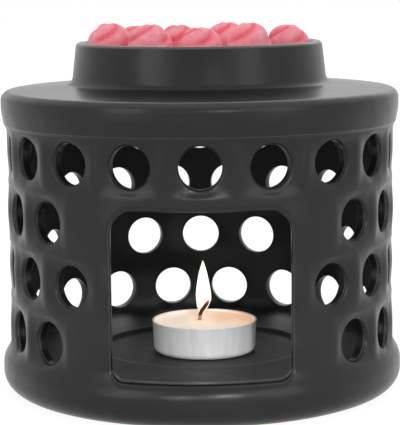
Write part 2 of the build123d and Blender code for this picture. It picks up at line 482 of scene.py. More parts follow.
class Wall:
    """The drum's pierced wall, as a flat sheet of angle, depth and height that is bent round. Its
    sizes are plain numbers, or values of a node tree."""

    SIZES = ("drum_radius", "wall", "chamber_rounding", "floor_height", "flare_blend", "flare_end",
             "web_dip", "rows", "per_row", "lowest_row", "row_pitch", "hole_radius", "outer_rounding",
             "dimple", "window_width", "window_top", "window_web", "strip_top", "band_start")

    def __init__(self, sizes):
        for name in self.SIZES:
            setattr(self, name, sizes[name])
        self.highest_row = self.lowest_row + (self.rows - 1) * self.row_pitch

    def fitted(self, height):
        """Draws the lowest and the highest cells in, so that they meet the foot and the band."""
        reach = self.hole_radius + self.outer_rounding
        web = self.row_pitch / 2 - reach
        low = self.lowest_row - reach
        high = self.highest_row + reach
        height = height + most(low - height, 0) * (1 - (low - self.strip_top) / web)
        return height - most(height - high, 0) * (1 - (self.band_start - high) / web)

    def outside(self, height):
        """The outer radius at a height."""
        below = most(self.flare_end - height, 0)
        flare = self.flare_blend - root(self.flare_blend * self.flare_blend - below * below)
        level = least(most(height, self.lowest_row), self.highest_row)
        swing = cosine((level - self.lowest_row) * FULL_TURN / self.row_pitch)
        return self.drum_radius + flare - self.web_dip * (1 - swing) / 2

    def inside(self, height):
        """The radius and the true height on the chamber's side, where the wall bends into the floor."""
        bend = self.floor_height + self.chamber_rounding
        turn = most(bend - height, 0) / self.chamber_rounding
        radius = self.drum_radius - self.wall - self.chamber_rounding * (1 - cosine(turn))
        return radius, most(height, bend) - self.chamber_rounding * sine(turn)

    def bent(self, angle, depth, height):
        """Where a point of the flat sheet goes. Depth runs from 0 outside to 1 in the chamber. The
        dimples run out where the wall meets the foot and the band."""
        room = least(self.band_start - height, height - self.strip_top)
        kept = least(most(room / DIMPLE_END, 0), 1)
        dimple = least(least(depth, self.dimple / self.wall), 1 - depth)
        depth = depth - dimple * (1 - kept)
        outer = self.outside(height)
        inner, level = self.inside(height)
        radius = outer + (inner - outer) * depth
        return radius * sine(angle), -1 * radius * cosine(angle), height + (level - height) * depth


def wall_sizes(body, openings):
    """The plain numbers that the wall is made from."""
    slope = atan2(body.foot_overhang, body.flare_height)
    flare_end = body.foot_height + body.flare_height + body.flare_blend * tan(slope / 2)
    sizes = {name: getattr(body, name, getattr(openings, name, 0)) for name in Wall.SIZES}
    sizes["flare_end"] = flare_end
    # The cells begin just over the bend of the flare and end just under the band
    sizes["strip_top"] = flare_end - body.flare_blend * sin(slope) + CLEAR / 2
    sizes["band_start"] = body.band_bottom - CLEAR
    return sizes


def cell(body, openings):
    """One hole and the wall round it, flat: across is an angle, deep is a share of the wall."""
    surface = Surface()
    half_angle = pi / openings.per_row
    half_height = openings.row_pitch / 2
    corner = atan2(half_height, half_angle * body.drum_radius)
    border, turns = [], []
    sides = (((1, -1), (1, 1), -corner, corner, CELL_UP),
             ((1, 1), (-1, 1), corner, pi - corner, CELL_ACROSS),
             ((-1, 1), (-1, -1), pi - corner, pi + corner, CELL_UP),
             ((-1, -1), (1, -1), pi + corner, FULL_TURN - corner, CELL_ACROSS))
    for (x0, z0), (x1, z1), first, last, steps in sides:
        for step in range(steps):
            along = step / steps
            border.append(((x0 + (x1 - x0) * along) * half_angle, (z0 + (z1 - z0) * along) * half_height))
            turns.append(first + (last - first) * along)

    def circle(radius, deep):
        across = body.drum_radius - deep
        return [(asin(radius * cos(turn) / across), radius * sin(turn)) for turn in turns]

    def sheet_row(flat, deep, mark=0.0):
        return surface.row([(x, deep / body.wall, z) for x, z in flat], mark)

    def between(inner, along):
        return [(x0 + (x1 - x0) * along, z0 + (z1 - z0) * along) for (x0, z0), (x1, z1) in zip(border, inner)]

    radius, outer, inner = openings.hole_radius, openings.outer_rounding, openings.inner_rounding
    edge = circle(radius + outer, openings.dimple)
    rows = []
    # The edge mark rises a little down the dimple towards the hole: thin glaze and a painted highlight
    for along in (0, 0.2, 0.4, 0.6, 0.8, 1):
        sunk = openings.dimple * (1 - cos(pi / 2 * along))
        rows.append(sheet_row(between(edge, along), sunk, 0.15 * along))
    # How thin the glaze has run over the hole's outer edge, from the dimple to the hole, together with a
    # painted highlight on that edge
    thin_glaze_and_highlight = (0.2, 0.1, 0.0, 0.2, 1.0)
    for step, mark in enumerate(thin_glaze_and_highlight, 1):
        turn = step / len(thin_glaze_and_highlight) * pi / 2
        deep = openings.dimple + outer * (1 - cos(turn))
        rows.append(sheet_row(circle(radius + outer * (1 - sin(turn)), deep), deep, mark))
    rows.append(sheet_row(circle(radius, body.wall / 2), body.wall / 2))
    inner_steps = 4
    for step in range(inner_steps, -1, -1):
        turn = step / inner_steps * pi / 2
        deep = body.wall - inner * (1 - cos(turn))
        rows.append(sheet_row(circle(radius + inner * (1 - sin(turn)), deep), deep))
    last = circle(radius + inner, body.wall)
    rows += [sheet_row(between(last, along), body.wall) for along in (0.6, 0.3, 0)]
    surface.bridge(rows)
    return surface.mesh("pierced_cell")


def pierced_wall(inputs):
    """The node tree that sets out the cells in staggered rows, leaves the window free, bends them
    round and joins them to the rest of the body."""
    tree = bpy.data.node_groups.new("Pierced wall", "GeometryNodeTree")
    tree.interface.new_socket("Geometry", in_out="OUTPUT", socket_type="NodeSocketGeometry")
    kinds = {"Geometry": "NodeSocketGeometry", "Cell": "NodeSocketObject", "Glaze": "NodeSocketMaterial"}
    for name in ("Geometry", *inputs):
        kind = kinds.get(name, "NodeSocketFloat")
        tree.interface.new_socket(name, in_out="INPUT", socket_type=kind)
    nodes = Nodes(tree)
    given = nodes.add("NodeGroupInput")
    wall = Wall({name: given.out(name) for name in Wall.SIZES})

    number = nodes.add("GeometryNodeInputIndex")
    row = (number / wall.per_row).math("FLOOR")
    stagger = (1 - row.math("FLOORED_MODULO", 2)) / 2
    angle = ((number - row * wall.per_row + stagger) * (FULL_TURN / wall.per_row)).math("WRAP", pi, -pi)
    height = wall.lowest_row + row * wall.row_pitch
    beside = abs(wall.drum_radius * sine(angle)) - wall.window_width / 2
    clearance = wall.hole_radius + wall.window_web
    clear = most(most(beside, height - wall.window_top) > clearance, abs(angle) > pi / 2)

    def then(geometry, kind, **sockets):
        return nodes.add(kind, {"Geometry": geometry, **sockets})

    points = nodes.add("GeometryNodePoints", {"Count": wall.rows * wall.per_row,
                                              "Position": nodes.vector(angle, 0.0, height)})
    one = nodes.add("GeometryNodeObjectInfo", {"Object": given.out("Cell")}, "Geometry")
    cells = nodes.add("GeometryNodeInstanceOnPoints", {"Points": points, "Selection": clear, "Instance": one})
    cells = then(cells, "GeometryNodeRealizeInstances")

    across, deep, up = nodes.parts(nodes.add("GeometryNodeInputPosition"))
    bent = nodes.vector(*wall.bent(across, deep, wall.fitted(up)))
    cells = then(cells, "GeometryNodeSetPosition", Position=bent)
    joined = nodes.add("GeometryNodeJoinGeometry")
    for part in (cells, given.out("Geometry")):
        tree.links.new(part.socket, joined.socket.node.inputs[0])
    welded = then(joined, "GeometryNodeMergeByDistance", Distance=WELD)
    smooth = then(welded, "GeometryNodeSetShadeSmooth")
    realized = then(smooth, "GeometryNodeRealizeInstances")
    glazed = then(realized, "GeometryNodeSetMaterial", Material=given.out("Glaze"))
    nodes.add("NodeGroupOutput", {"Geometry": glazed})
    return tree


def grown(base, tree, inputs):
    """What a node tree makes from a base mesh, as a plain mesh."""
    source = linked("source", base)
    modifier = source.modifiers.new("Nodes", "NODES")
    modifier.node_group = tree
    for socket in tree.interface.items_tree:
        if socket.in_out == "INPUT" and socket.name in inputs:
            modifier[socket.identifier] = inputs[socket.name]
    graph = bpy.context.evaluated_depsgraph_get()
    made = bpy.data.meshes.new_from_object(source.evaluated_get(graph), preserve_all_data_layers=True,
                                           depsgraph=graph)
    source.modifiers.clear()
    bpy.data.objects.remove(source)
    return made


def window_outline(openings):
    """Points round the window, with the direction away from it: (x, z, x share, z share)."""
    side, lower, upper = openings.window_width / 2, openings.window_lower_corner, openings.window_upper_corner
    low, high = openings.window_bottom + lower, openings.window_top - upper
    outline = []
    places = ((side - lower, low, lower, -90), (side - upper, high, upper, 0),
              (upper - side, high, upper, 90), (lower - side, low, lower, 180))
    for number, (x, z, corner, first) in enumerate(places):
        for step in range(CORNER_STEPS + 1):
            turn = radians(first + 90 * step / CORNER_STEPS)
            outline.append((x + corner * cos(turn), z + corner * sin(turn), cos(turn), sin(turn)))
        end_x, end_z, across, up = outline[-1]
        next_x, next_z, next_corner, _ = places[(number + 1) % 4]
        run_x, run_z = next_x + next_corner * across - end_x, next_z + next_corner * up - end_z
        runs = ceil(hypot(run_x, run_z) / LONGEST_STEP)
        for run in range(1, runs):
            outline.append((end_x + run_x * run / runs, end_z + run_z * run / runs, across, up))
    return outline


def within(point, ring):
    """Whether a flat point lies in a closed ring of flat points."""
    crossings = 0
    for (x0, z0), (x1, z1) in zip(ring, ring[1:] + ring[:1]):
        if (z0 > point[1]) != (z1 > point[1]):
            crossings += point[0] < x0 + (x1 - x0) * (point[1] - z0) / (z1 - z0)
    return crossings % 2 == 1


def fill_web(surface, border, ring, ring_row, spots, place):
    """Fills between a border and a ring in it. All are flat, and place puts a flat point in space."""
    known = surface.row([place(point) for point in border]) + ring_row
    known += surface.row([place(point) for point in spots])
    flat = [Vector(point) for point in border + ring + spots]
    edges = []
    for first, count in ((0, len(border)), (len(border), len(ring))):
        edges += [(first + step, first + (step + 1) % count) for step in range(count)]
    points, _, faces, origins, _, _ = geometry.delaunay_2d_cdt(flat, edges, [], 0, 1e-8)
    if not all(origins):
        raise RuntimeError("the web round the window has lines that cross")
    for face in faces:
        middle = sum((points[corner] for corner in face), Vector((0, 0))) / len(face)
        if within(middle, border) and not within(middle, ring):
            surface.faces.append([known[origins[corner][0]] for corner in face])


def web_border(wall, openings, strip):
    """The border of the cells that the window leaves out, in steps round from the front and heights."""
    bottom = openings.lowest_row - openings.row_pitch / 2
    low, high = bottom + openings.row_pitch, bottom + 2 * openings.row_pitch
    heights = strip[:-1] + [wall.fitted(bottom + openings.row_pitch * number / CELL_UP)
                            for number in range(3 * CELL_UP + 1)]
    wide, narrow = 2 * CELL_ACROSS, 3 * CELL_ACROSS // 2
    right = [(wide, height) for height in heights if height < low + WELD]
    right += [(number, low) for number in range(wide - 1, narrow, -1)]
    right += [(narrow, height) for height in heights if low - WELD < height < high + WELD]
    right += [(number, high) for number in range(narrow + 1, wide)]
    right += [(wide, height) for height in heights if height > high - WELD]
    top = [(number, heights[-1]) for number in range(wide - 1, -wide, -1)]
    left = [(-number, height) for number, height in reversed(right)]
    floor = [(number, heights[0]) for number in range(-wide + 1, wide)]
    spots = [(number, height) for number in range(-wide + 1, wide) for height in heights[1:-1]]
    return right + top + left + floor, spots


def window_web(surface, wall, body, openings, strips, outer_radius):
    """The wall round the window, outside and in the chamber, and the window's own edges."""
    step = FULL_TURN / openings.per_row / CELL_ACROSS
    outline = window_outline(openings)
    bend = body.floor_height + body.chamber_rounding

    def unrolled(height):
        """How far up the chamber's side a true height lies, along the bend into the floor."""
        below = max(0, bend - height) / body.chamber_rounding
        return height if height > bend else bend - body.chamber_rounding * asin(below)

    def ring_at(spread, height_of):
        return [(x + across * spread, height_of(z) + up * spread) for x, z, across, up in outline]

    def on_wall(ring, side):
        """Points of a flat ring, carried straight back onto one side of the wall."""
        return [Vector((x, -sqrt(side(z)[0] ** 2 - x * x), side(z)[1])) for x, z in ring]

    def edge_rows(side, height_of, rounding, inward, peak):
        """Rows that turn from one side of the wall into the window's cut edge."""
        away, at = (on_wall(ring_at(spread, height_of), side) for spread in (rounding, 0))
        cut = [point + Vector((0, inward * rounding, 0)) for point in at]
        rows = []
        for part in range(EDGE_STEPS + 1):
            along = part / EDGE_STEPS
            bend_row = [curved(*ends, along) for ends in zip(away, at, cut)]
            rows.append(surface.row(bend_row, peak * sin(pi * along) ** 6))
        return rows

    # Each side of the wall: its radius and level at a height, how heights lie on it when it is flat, the
    # rounding, the web's distance from that, the way into the wall and the mark on the edge, which gives thin
    # glaze and a painted highlight there
    outer, inner = openings.window_outer_rounding, openings.window_inner_rounding
    sides = ((lambda height: (outer_radius(height), height), float, outer, OUTER_MARGIN, 1, 0.5),
             (wall.inside, unrolled, inner, INNER_MARGIN, -1, 0.0))
    rings = [ring_at(rounding + margin, height_of) for _, height_of, rounding, margin, _, _ in sides]
    rows = [surface.row(on_wall(ring, side[0])) for ring, side in zip(rings, sides)]
    outside, inside = (edge_rows(side, height_of, rounding, inward, peak)
                       for side, height_of, rounding, _, inward, peak in sides)
    surface.bridge([rows[0], *outside, *reversed(inside), rows[1]])

    for (side, *_), strip, ring, row in zip(sides, strips, rings, rows):
        border, spots = ([(number * step * body.drum_radius, height) for number, height in flat]
                         for flat in web_border(wall, openings, strip))
        ring = [(asin(x / side(z)[0]) * body.drum_radius, z) for x, z in ring]
        taken = np.array(border + ring)
        spots = [spot for spot in spots if np.hypot(*(taken - spot).T).min() > SPOT_SPACE
                 and within(spot, border) and not within(spot, ring)]

        def place(flat):
            radius, level = side(flat[1])
            return spun(radius, flat[0] / body.drum_radius, level)

        fill_web(surface, border, ring, row, spots, place)


def body_shell(body, openings, wall):
    """All of the ceramic body but its cells, as one open mesh that the cells fit into."""
    surface = Surface()
    around = openings.per_row * CELL_ACROSS
    full = round_angles(around)
    past_window = full[2 * CELL_ACROSS:around - 2 * CELL_ACROSS + 1]
    foot = body.drum_radius + body.foot_overhang
    ring_outside = foot - body.foot_rounding
    ring_inside = ring_outside - body.ring_width
    foot_corners = [
        (0, body.recess, 0),
        (ring_inside, body.recess, body.recess_rounding),
        (ring_inside, 0, body.recess_rounding),
        (foot, 0, body.foot_rounding),
        (foot, body.foot_height, body.flare_rounding),
        (body.drum_radius, body.foot_height + body.flare_height, body.flare_blend),
        (body.drum_radius, body.band_bottom, 0),
    ]
    fine = [point for point in rounded(foot_corners, radians(0.5)) if point[0] > ring_outside + WELD]
    fine_radii, fine_heights, _ = zip(*fine)

    def outer_radius(height):
        if height > wall.strip_top:
            return wall.outside(height)
        return float(np.interp(height, fine_heights, fine_radii))

    strip, inner_strip = ([low + (wall.strip_top - low) * number / STRIP_STEPS
                           for number in range(STRIP_STEPS + 1)] for low in (FOOT_TOP, FLOOR_EDGE))
    under = [point for point in rounded(foot_corners) if point[1] < FOOT_TOP - CLEAR]
    lathe(surface, under + [(outer_radius(FOOT_TOP), FOOT_TOP, 0.0)], full)
    lathe(surface, [(outer_radius(height), height, 0.0) for height in strip], past_window, closed=False)
    lathe(surface, [(*wall.inside(height), 0.0) for height in inner_strip], past_window, closed=False)

    chamber = body.drum_radius - body.wall
    lip = body.seat_radius + body.seat_lip
    # A painted highlight: the light line round the seat is wider than the roundings of its lip, so it is
    # marked here
    painted_highlight_from, painted_highlight_reach = lip + 0.9 * MM, 1.5 * MM
    floor = rounded([
        (0, body.floor_height - body.seat_depth, 0),
        (body.seat_radius, body.floor_height - body.seat_depth, body.seat_rounding),
        (lip, body.floor_height, body.seat_rounding),
        (painted_highlight_from + painted_highlight_reach / 3, body.floor_height, 0),
        (painted_highlight_from + painted_highlight_reach, body.floor_height, 0),
        (chamber - body.chamber_rounding, body.floor_height, 0),
    ], outward=False)
    floor = [(radius, height, max(0.0, 1 - abs(radius - painted_highlight_from) / painted_highlight_reach))
             for radius, height, _ in floor]
    lathe(surface, floor + [(*wall.inside(FLOOR_EDGE), 0.0)], full)
    ceiling = rounded([
        (chamber, wall.band_start, 0),
        (chamber, body.ceiling, body.chamber_rounding),
        (0, body.ceiling, 0),
    ], outward=False)
    lathe(surface, ceiling, full)

    band = body.drum_radius + body.band_overhang
    swell = body.band_bottom + body.band_step_height
    shoulder_top = body.shoulder_edge + body.shoulder_rise
    rim = shoulder_top + body.dish_height
    dish = body.rim_radius - body.rim_thickness
    top = rounded([
        (body.drum_radius, wall.band_start, 0),
        (body.drum_radius, body.band_bottom, body.band_step_rounding),
        (body.drum_radius + body.band_step, swell, body.band_step_rounding),
        (band, swell + body.band_swell, body.band_rounding),
        (band, body.shoulder_edge, body.shoulder_rounding),
        (body.dish_foot, shoulder_top, body.dish_blend),
        (body.rim_radius, rim, body.rim_rounding),
        (dish, rim, body.rim_rounding),
        (dish - body.dish_taper, rim - body.dish_depth, body.dish_rounding),
        (0, rim - body.dish_depth, 0),
    ])
    lathe(surface, top, full)
    window_web(surface, wall, body, openings, (strip, inner_strip), outer_radius)
    return surface.mesh("body_shell")


def paint_glaze(nodes, place, glaze):
    """Satin glaze, a little uneven, and lighter over edges: partly thin glaze, partly a painted highlight."""
    clouds = nodes.noise(place, 28.0, 3.0)
    specks = nodes.noise(place, 900.0)
    edge = nodes.mark("edge")
    light = [value * 1.7 for value in glaze.colour]
    ground = nodes.mix(clouds.ramp(0.3, 0.75) * 0.6 + specks.ramp(0.55, 0.8) * 0.3, glaze.colour, light)
    # The edge mark lightens the glaze: partly thin glaze, partly a painted highlight
    thin = (edge * (0.75 + clouds * 0.5)).ramp(0.15, 1.0)
    colour = nodes.mix(thin, ground, glaze.edge_colour)
    x, y, z = nodes.parts(place)
    from_axis = root(x * x + y * y)
    chamber = 1 - from_axis.ramp(65 * MM, 66 * MM)
    chamber = chamber * (1 - z.ramp(104 * MM, 106 * MM)) * z.ramp(10 * MM, 12 * MM)
    rough = glaze.roughness + chamber * 0.22 + (clouds - 0.5) * 0.10 + specks * 0.03
    relief = nodes.noise(place, 45.0) * 0.9 + nodes.noise(place, 120.0) * 0.1 + specks * 0.015
    return nodes.principled((relief, 1.2 * MM, 0.6), Base_Color=colour, Roughness=rough,
                            Specular_IOR_Level=0.28)


class MakeBody(bpy.types.Operator):
    """Build the pierced and glazed ceramic body"""
    bl_idname = "oil_burner.make_body"
    bl_label = "Ceramic Body"

    def execute(self, context):
        body, openings = context.scene.burner_body, context.scene.burner_openings
        glaze = material("glazed_ceramic", paint_glaze, context.scene.burner_glaze)
        sizes = wall_sizes(body, openings)
        one = bpy.data.objects.new("pierced_cell", cell(body, openings))
        shell = body_shell(body, openings, Wall(sizes))
        inputs = {**{name: float(value) for name, value in sizes.items()}, "Cell": one, "Glaze": glaze}
        mesh = grown(shell, pierced_wall(inputs), inputs)
        bpy.data.objects.remove(one)
        open_edges = face_outward(mesh, weld=False)
        if open_edges:
            raise RuntimeError(f"the ceramic body has {open_edges} open edges")
        add_piece("ceramic_body", mesh, None, "burner", "glazed_ceramic", "burner_body")
        return {"FINISHED"}


# The wax melts

def melt_mesh(name, low, high, finish, turn, seed):
    """One domed melt with folds that wind from its crown down to its rim."""
    middle = (low + high) / 2
    radius, height = (high.x - low.x) / 2, high.z - low.z
    base_rounding, winding, around = 1.6 * MM, 1.15, 96
    # How far the folds take to fade at the crown and at the rim, and how far the crown's dimple
    # reaches, as shares of the way down, then the dimple's depth as a share of a fold's
    fade_crown, fade_rim, dimple_reach, dimple_share = 0.25, 0.18, 0.22, 0.6
    # The flat part of a petal, how steeply the rest of it falls into the fold, and the wax's grain
    flat_part, steepness, grain_scale, grain_depth = 0.15, 2.2, 900, 0.22 * MM
    crown = min(radius - CLEAR, height - base_rounding - CLEAR)
    corners = [(0, 0, 0), (radius, 0, base_rounding), (radius, height, crown), (0, height, 0)]
    drift = Vector((seed * 3.1, seed * 1.7, 0))
    rings = []
    for across, up, _ in rounded(corners, radians(3.2))[1:-1]:
        slope = atan2(across, max(up - (height - crown), 1e-9))
        from_top = slope / (pi / 2)
        on_dome = up > base_rounding
        # The folds fade out at the crown, which has a dimple of its own, and at the rim
        fade = min(1, from_top / fade_crown) * min(1, max(0, 1 - from_top) / fade_rim) if on_dome else 0
        dimple = max(0, 1 - from_top / dimple_reach) ** 2
        points, marks = [], []
        for angle in round_angles(around):
            phase = finish.petals * angle / FULL_TURN + winding * from_top + turn
            fold = abs(phase % 1 - 0.5) * 2
            fall = max(0.0, (fold - flat_part) / (1 - flat_part)) ** steepness
            valley = min(1.0, fall * fade + dimple * dimple_share)
            spot = Vector((across * cos(angle), across * sin(angle), up))
            grain = noise.noise(spot * grain_scale + drift) * 0.5 + 0.5
            inward = valley * finish.fold_depth + grain * grain_depth * on_dome
            reach = across - inward * sin(slope)
            points.append((middle.x + reach * cos(angle), middle.y + reach * sin(angle),
                           low.z + up - inward * cos(slope)))
            # The valley mark sets where the folds are painted in shade
            marks.append(valley)
        rings.append((points, marks))
    crown_dip = dimple_share * finish.fold_depth + 0.1 * MM
    return capped(name, rings, (middle.x, middle.y, low.z), (middle.x, middle.y, high.z - crown_dip),
                  dimple_share, "valley")


def paint_melt(nodes, place, finish):
    """Grainy, sugared pink wax, with painted shade in its folds and patches of a paler, painted highlight
    pink.
    """
    valley = nodes.mark("valley")
    clouds = nodes.noise(place, 260.0, 3.0)
    grains = nodes.noise(place, 2600.0)
    # Painted highlight pink, in random pale patches
    petal = nodes.mix(clouds.ramp(0.35, 0.7), finish.colour, finish.edge_colour)
    # Painted shade in the folds, spread a little by noise
    deep = (valley * 1.1 + clouds * 0.35 - 0.12).ramp(0.05, 0.8)
    colour = nodes.mix(deep, petal, finish.valley_colour)
    sparkle = grains.ramp(0.62, 0.74)
    colour = nodes.mix(sparkle * 0.5, colour, (1.0, 0.66, 0.70))
    return nodes.principled((grains + clouds * 0.6, 0.25 * MM, 0.7), Base_Color=colour,
                            Roughness=0.62 - sparkle * 0.25, Subsurface_Weight=0.25,
                            Subsurface_Radius=(3.5 * MM, 1.2 * MM, 1.0 * MM), Subsurface_Scale=1.0,
                            Sheen_Weight=0.12)


class MakeMelts(bpy.types.Operator):
    """Build the wax melts heaped in the dish"""
    bl_idname = "oil_burner.make_melts"
    bl_label = "Wax Melts"

    def execute(self, context):
        finish = context.scene.burner_melts
        wax = material("melt_wax", paint_melt, finish)
        turned_on = 0.382  # from one melt to the next, as a share of a petal
        for number, node in enumerate(MELTS):
            mesh = melt_mesh(node, *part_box(node), finish, number * turned_on, number)
            add_piece("folded_" + node, mesh, wax, "wax_melts", "melt_wax", node)
        return {"FINISHED"}


# The tea light

def paint_aluminium(nodes, place, colour):
    """Drawn aluminium with soft streaks up its wall."""
    x, y, z = nodes.parts(place)
    streaks = nodes.noise(nodes.vector(x * 450, y * 450, z * 45), 1.0, 3.0)
    fine = nodes.noise(nodes.vector(x * 2600, y * 2600, z * 160), 1.0)
    dark = [value * 0.86 for value in colour]
    shade = nodes.mix(streaks.ramp(0.3, 0.7) * 0.7 + fine * 0.2, dark, colour)
    return nodes.principled((streaks * 0.7 + fine * 0.3, 0.06 * MM, 0.5), Base_Color=shade,
                            Metallic=0.12, Roughness=0.44 + streaks * 0.14)


class MakeCup(bpy.types.Operator):
    """Build the tea light's drawn cup with its rolled rim"""
    bl_idname = "oil_burner.make_cup"
    bl_label = "Tea Light Cup"

    def execute(self, context):
        tea = context.scene.burner_tea_light
        radius, height = (CUP_HIGH.x - CUP_LOW.x) / 2, CUP_HIGH.z - CUP_LOW.z
        bead, sheet = tea.bead, tea.cup_wall
        # In radii of the bead: how far the wall stands in, and how far under the rim its two sides end
        stands_in, outer_end, inner_end = 0.7, 2.2, 2.4
        neck = radius - bead * stands_in
        outer = rounded([
            (0, 0, 0),
            (tea.base_radius, 0, tea.base_rounding),
            (neck, height - outer_end * bead, 0),
        ])
        roll = [(radius - bead + bead * cos(radians(turn)), height - bead + bead * sin(radians(turn)))
                for turn in range(-60, 241, 30)]
        inner = rounded([
            (neck - sheet, height - inner_end * bead, 0),
            (tea.base_radius - sheet, sheet, tea.base_rounding - sheet),
            (0, sheet, 0),
        ])
        mesh = turned("aluminium_cup", outer + roll + inner, CUP_LOW, CUP_HIGH, count=144)
        finish = material("cup_aluminium", paint_aluminium, tea.aluminium)
        add_piece("aluminium_cup", mesh, finish, "tea_light", "cup_aluminium", "tea_light_cup")
        return {"FINISHED"}


def wick_foot():
    """Where the wick stands on the cup's bottom."""
    half = (WICK_HIGH.y - WICK_LOW.y) / 2
    return Vector((WICK_LOW.x + half, WICK_LOW.y + half, WICK_LOW.z))


def paint_wax(nodes, place, tea):
    """Paraffin with painted flame light: creamy towards the front left, and a painted orange glow round the
    wick and at the back right.
    """
    x, y, _ = nodes.parts(place)
    wick = wick_foot()
    across, back = x - wick.x, y - wick.y
    from_wick = root(across * across + back * back)
    clouds = nodes.noise(place, 120.0)
    # Painted flame light: the wax is warmed and made to glow towards the back right and round the wick
    lean = (across * 0.8 + back * 0.55) / (16 * MM)
    painted_flame_warmth = (lean + (clouds - 0.5) * 0.5).ramp(-0.25, 0.95)
    painted_wick_glow = 1 - from_wick.ramp(0.6 * MM, 3.4 * MM)
    glow = nodes.mix(painted_flame_warmth, (1.0, 0.80, 0.62), tea.glow)
    glow = nodes.mix(painted_wick_glow, glow, (1.0, 0.36, 0.10))
    # Painted flame light also warms the base colour towards the back right
    base = nodes.mix(painted_flame_warmth * 0.5, tea.wax, (0.95, 0.66, 0.45))
    rough = 0.22 + from_wick.ramp(8 * MM, 15 * MM) * 0.3
    # The wax's emission is a painted glow, standing in for the flame's light
    return nodes.principled((clouds, 0.2 * MM, 0.3), Base_Color=base, Roughness=rough, Subsurface_Weight=0.4,
                            Subsurface_Radius=(4 * MM, 2.5 * MM, 1.5 * MM), Subsurface_Scale=1.0,
                            Emission_Color=glow, Emission_Strength=0.50)


class MakeWax(bpy.types.Operator):
    """Build the wax in the cup, with the edge that it draws up the wall"""
    bl_idname = "oil_burner.make_wax"
    bl_label = "Tea Light Wax"

    def execute(self, context):
        tea = context.scene.burner_tea_light
        radius, height = (WAX_HIGH.x - WAX_LOW.x) / 2, WAX_HIGH.z - WAX_LOW.z
        sides = rounded([(0, 0, 0), (tea.base_radius - tea.cup_wall, 0, tea.base_rounding - tea.cup_wall),
                         (radius, height, 0)])
        fades_over = 0.7  # in millimetres, as the steps in from the cup's wall are
        creep = [(radius - reach * MM, height - tea.meniscus * (1 - exp(-reach / fades_over)))
                 for reach in (0.15, 0.35, 0.7, 1.2, 2.0, 3.5, 6.0, 9.0, 12.0, 14.5, 16.0, 17.0)]
        profile = sides + creep + [(0, height - tea.meniscus)]
        mesh = turned("poured_wax", profile, WAX_LOW, WAX_HIGH, count=96)
        finish = material("candle_wax", paint_wax, tea)
        add_piece("poured_wax", mesh, finish, "tea_light", "candle_wax", "tea_light_wax")
        return {"FINISHED"}


def wick_line():
    """Points up the middle of the wick."""
    bend_height, bend_reach, tip_across, tip_height = 1.9 * MM, 1.6 * MM, 3.4 * MM, 6.8 * MM
    below, round_bend, above = 20, 10, 12  # steps under the bend, round it and over it
    foot = wick_foot()
    bend = Vector((foot.x, foot.y, WAX_HIGH.z + bend_height))
    tip = Vector((foot.x + tip_across, foot.y, WAX_HIGH.z + tip_height))
    lower = bend - Vector((0, 0, bend_reach))
    upper = bend + (tip - bend).normalized() * bend_reach
    line = [foot.lerp(lower, number / below) for number in range(below)]
    line += [curved(lower, bend, upper, number / round_bend) for number in range(round_bend)]
    return line + [upper.lerp(tip, number / above) for number in range(above + 1)]


def paint_wick(nodes, place):
    """Waxed cotton below, charred black above, with a dull ember at the tip."""
    up = nodes.mark("edge")
    grain = nodes.noise(place, 3500.0)
    char = nodes.mix(grain, (0.006, 0.004, 0.004), (0.05, 0.016, 0.010))
    waxed = nodes.mix(grain, (0.30, 0.17, 0.09), (0.48, 0.30, 0.18))
    colour = nodes.mix(up.ramp(0.52, 0.60), waxed, char)
    ember = (up + grain * 0.10).ramp(0.93, 1.05)
    colour = nodes.mix(ember, colour, (0.22, 0.055, 0.025))
    glow = nodes.mix(ember, (0, 0, 0), (0.9, 0.16, 0.04))
    return nodes.principled((grain, 0.1 * MM, 0.8), Base_Color=colour, Roughness=0.9,
                            Emission_Color=glow, Emission_Strength=0.35)


def paint_steel(nodes, place):
    """Stamped tinned steel with a fine grain."""
    grain = nodes.noise(place, 1800.0)
    colour = nodes.mix(grain, (0.42, 0.42, 0.44), (0.62, 0.62, 0.64))
    return nodes.principled((grain, 0.02 * MM, 0.4), Base_Color=colour, Metallic=1.0,
                            Roughness=0.3 + grain * 0.15)


class MakeWick(bpy.types.Operator):
    """Build the braided wick, and finish the steel tab that holds it"""
    bl_idname = "oil_burner.make_wick"
    bl_label = "Wick and Tab"

    def execute(self, context):
        tea = context.scene.burner_tea_light
        line = wick_line()
        last = len(line) - 1
        aside = Vector((0, 1, 0))
        strands, twist, around = 3, 0.55, 24
        # A strand's lowest part and its rise, and how much the tip tapers, from where and over what share
        groove, rise, taper, taper_from, taper_over = 0.80, 0.20, 0.45, 0.92, 0.08
        rings = []
        for number, point in enumerate(line):
            ahead = (line[min(number + 1, last)] - line[max(number - 1, 0)]).normalized()
            over = aside.cross(ahead)
            up = number / last
            tapered = 1 - taper * max(0, up - taper_from) / taper_over
            ring = []
            for angle in round_angles(around):
                strand = abs(sin(strands / 2 * angle + number * twist))
                reach = tea.wick_radius * (groove + rise * strand) * tapered
                ring.append(point + (aside * cos(angle) + over * sin(angle)) * reach)
            rings.append((ring, up))
        tip = line[-1] + (line[-1] - line[-2]).normalized() * 0.15 * MM
        mesh = capped("braided_wick", rings, line[0], tip)
        finish = material("wick_cotton", paint_wick)
        add_piece("braided_wick", mesh, finish, "tea_light", "wick_cotton", "wick")
        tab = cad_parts["wick_tab"]
        tab.data.materials.clear()
        tab.data.materials.append(material("tab_steel", paint_steel))
        return {"FINISHED"}


def paint_flame(nodes, place):
    """White-hot at its heart, peach low down, and faint and bluish round the wick."""
    up = nodes.mark("edge")
    colour = nodes.mix(up.ramp(0.10, 0.34), (1.0, 0.62, 0.36), (1.0, 0.93, 0.80))
    colour = nodes.mix(up.ramp(0.02, 0.16), (0.42, 0.46, 0.55), colour)
    return nodes.principled(None, Base_Color=(0, 0, 0, 1), Specular_IOR_Level=0.0, Emission_Color=colour,
                            Emission_Strength=1.6, Alpha=up.ramp(0.05, 0.36) * 0.86 + 0.14)


